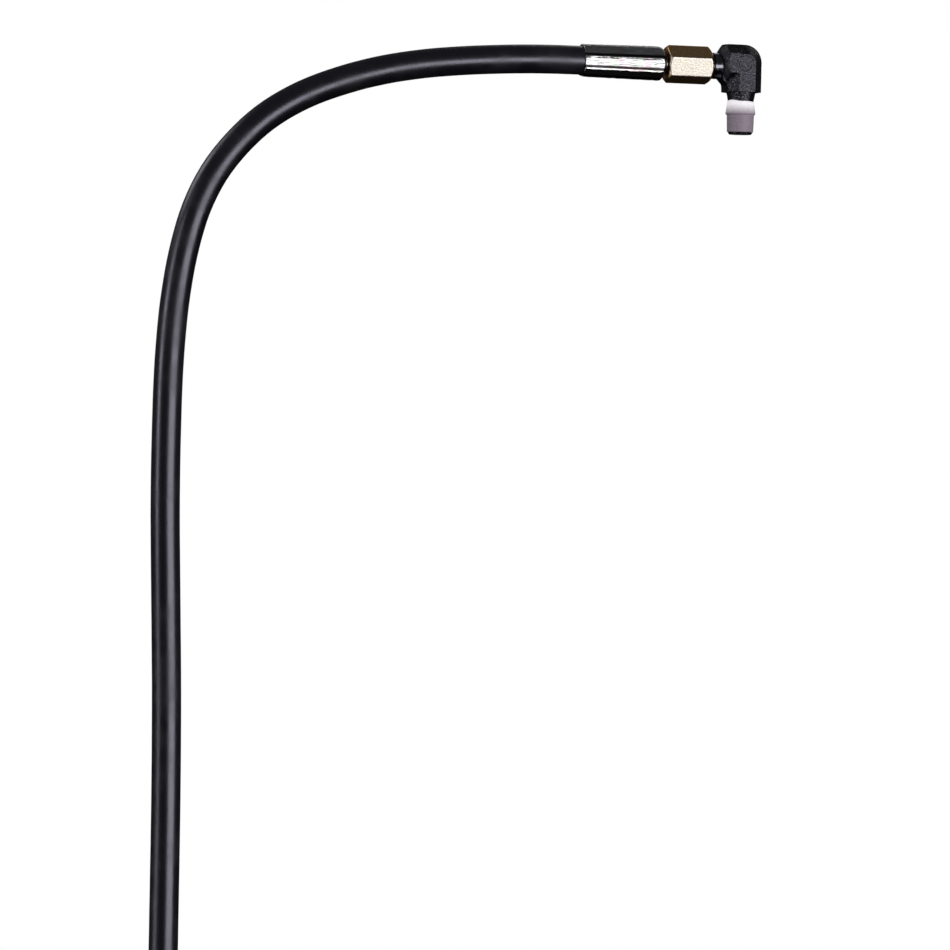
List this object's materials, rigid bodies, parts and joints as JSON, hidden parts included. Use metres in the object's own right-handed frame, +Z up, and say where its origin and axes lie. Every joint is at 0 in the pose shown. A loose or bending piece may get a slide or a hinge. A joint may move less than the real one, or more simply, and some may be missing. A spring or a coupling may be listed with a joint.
{
  "type": "hydraulic hose assembly",
  "caption": "Black wire-braid hydraulic hose with crimped ends, long hexagon swivel nuts, a taped forged elbow and a sealed pump adapter.",
  "frame": {"origin": "on the axis of the elbow's tapered male thread, at the mouth of the cylinder's port", "axes": "+Z up along the elbow's port thread, away from the port; the hose leaves the elbow along -X and hangs down in the XZ plane"},
  "size_m": [0.3234, 0.0206, 0.8162],
  "materials": {
    "rubber_cover": "smooth black rubber with a soft sheen",
    "rubber_tube": "matt black rubber",
    "braid_wire": "brass-plated high-tensile steel wire braid",
    "forged_black": "black phosphated forged steel, slightly rough",
    "yellow_zinc": "steel with yellow passivated zinc plate",
    "bright_zinc": "steel with bright clear passivated zinc plate",
    "spring_steel": "bare spring steel wire",
    "thread_tape": "white PTFE thread tape"
  },
  "bodies": {
    "elbow": {"elbow_body": "forged_black", "elbow_thread_tape": "thread_tape"},
    "cylinder_swivel": {"cylinder_end_lock_wire": "spring_steel"},
    "cylinder_nut": {"cylinder_end_nut": "yellow_zinc"},
    "hose": {"cylinder_end_stem": "bright_zinc", "cylinder_end_ferrule": "bright_zinc", "hose_inner_tube": "rubber_tube", "hose_inner_braid": "braid_wire", "hose_friction_layer": "rubber_tube", "hose_outer_braid": "braid_wire", "hose_cover": "rubber_cover", "pump_end_ferrule": "bright_zinc", "pump_end_stem": "bright_zinc"},
    "pump_swivel": {"pump_end_lock_wire": "spring_steel"},
    "pump_nut": {"pump_end_nut": "yellow_zinc"},
    "adapter": {"pump_adapter": "yellow_zinc", "pump_seal_ring": "bright_zinc", "pump_seal_lip": "rubber_tube"}
  },
  "joints": [
    {"name": "cylinder_nut_draw", "type": "slide", "parent": "elbow", "child": "cylinder_swivel", "axis": [-1, 0, 0], "range_m": [0, 0.00988]},
    {"name": "cylinder_nut_spin", "type": "hinge", "parent": "cylinder_swivel", "child": "cylinder_nut", "pos_m": [-0.03, 0, 0.02475], "axis": [-1, 0, 0], "range_deg": [0, 2520]},
    {"name": "hose_swivel", "type": "hinge", "parent": "cylinder_swivel", "child": "hose", "pos_m": [-0.0363, 0, 0.02475], "axis": [-1, 0, 0], "continuous": true},
    {"name": "pump_end_swivel", "type": "hinge", "parent": "hose", "child": "pump_swivel", "pos_m": [-0.302, 0, -0.7347], "axis": [0, 0, 1], "continuous": true},
    {"name": "pump_nut_spin", "type": "hinge", "parent": "pump_swivel", "child": "pump_nut", "pos_m": [-0.302, 0, -0.7347], "axis": [0, 0, 1], "range_deg": [0, 2520]},
    {"name": "pump_adapter_draw", "type": "slide", "parent": "pump_swivel", "child": "adapter", "axis": [0, 0, -1], "range_m": [0, 0.00988]}
  ],
  "couplings": [
    {"joint": "cylinder_nut_spin", "follows": "cylinder_nut_draw", "rad_per_m": 4452.6},
    {"joint": "pump_nut_spin", "follows": "pump_adapter_draw", "rad_per_m": 4452.6}
  ]
}
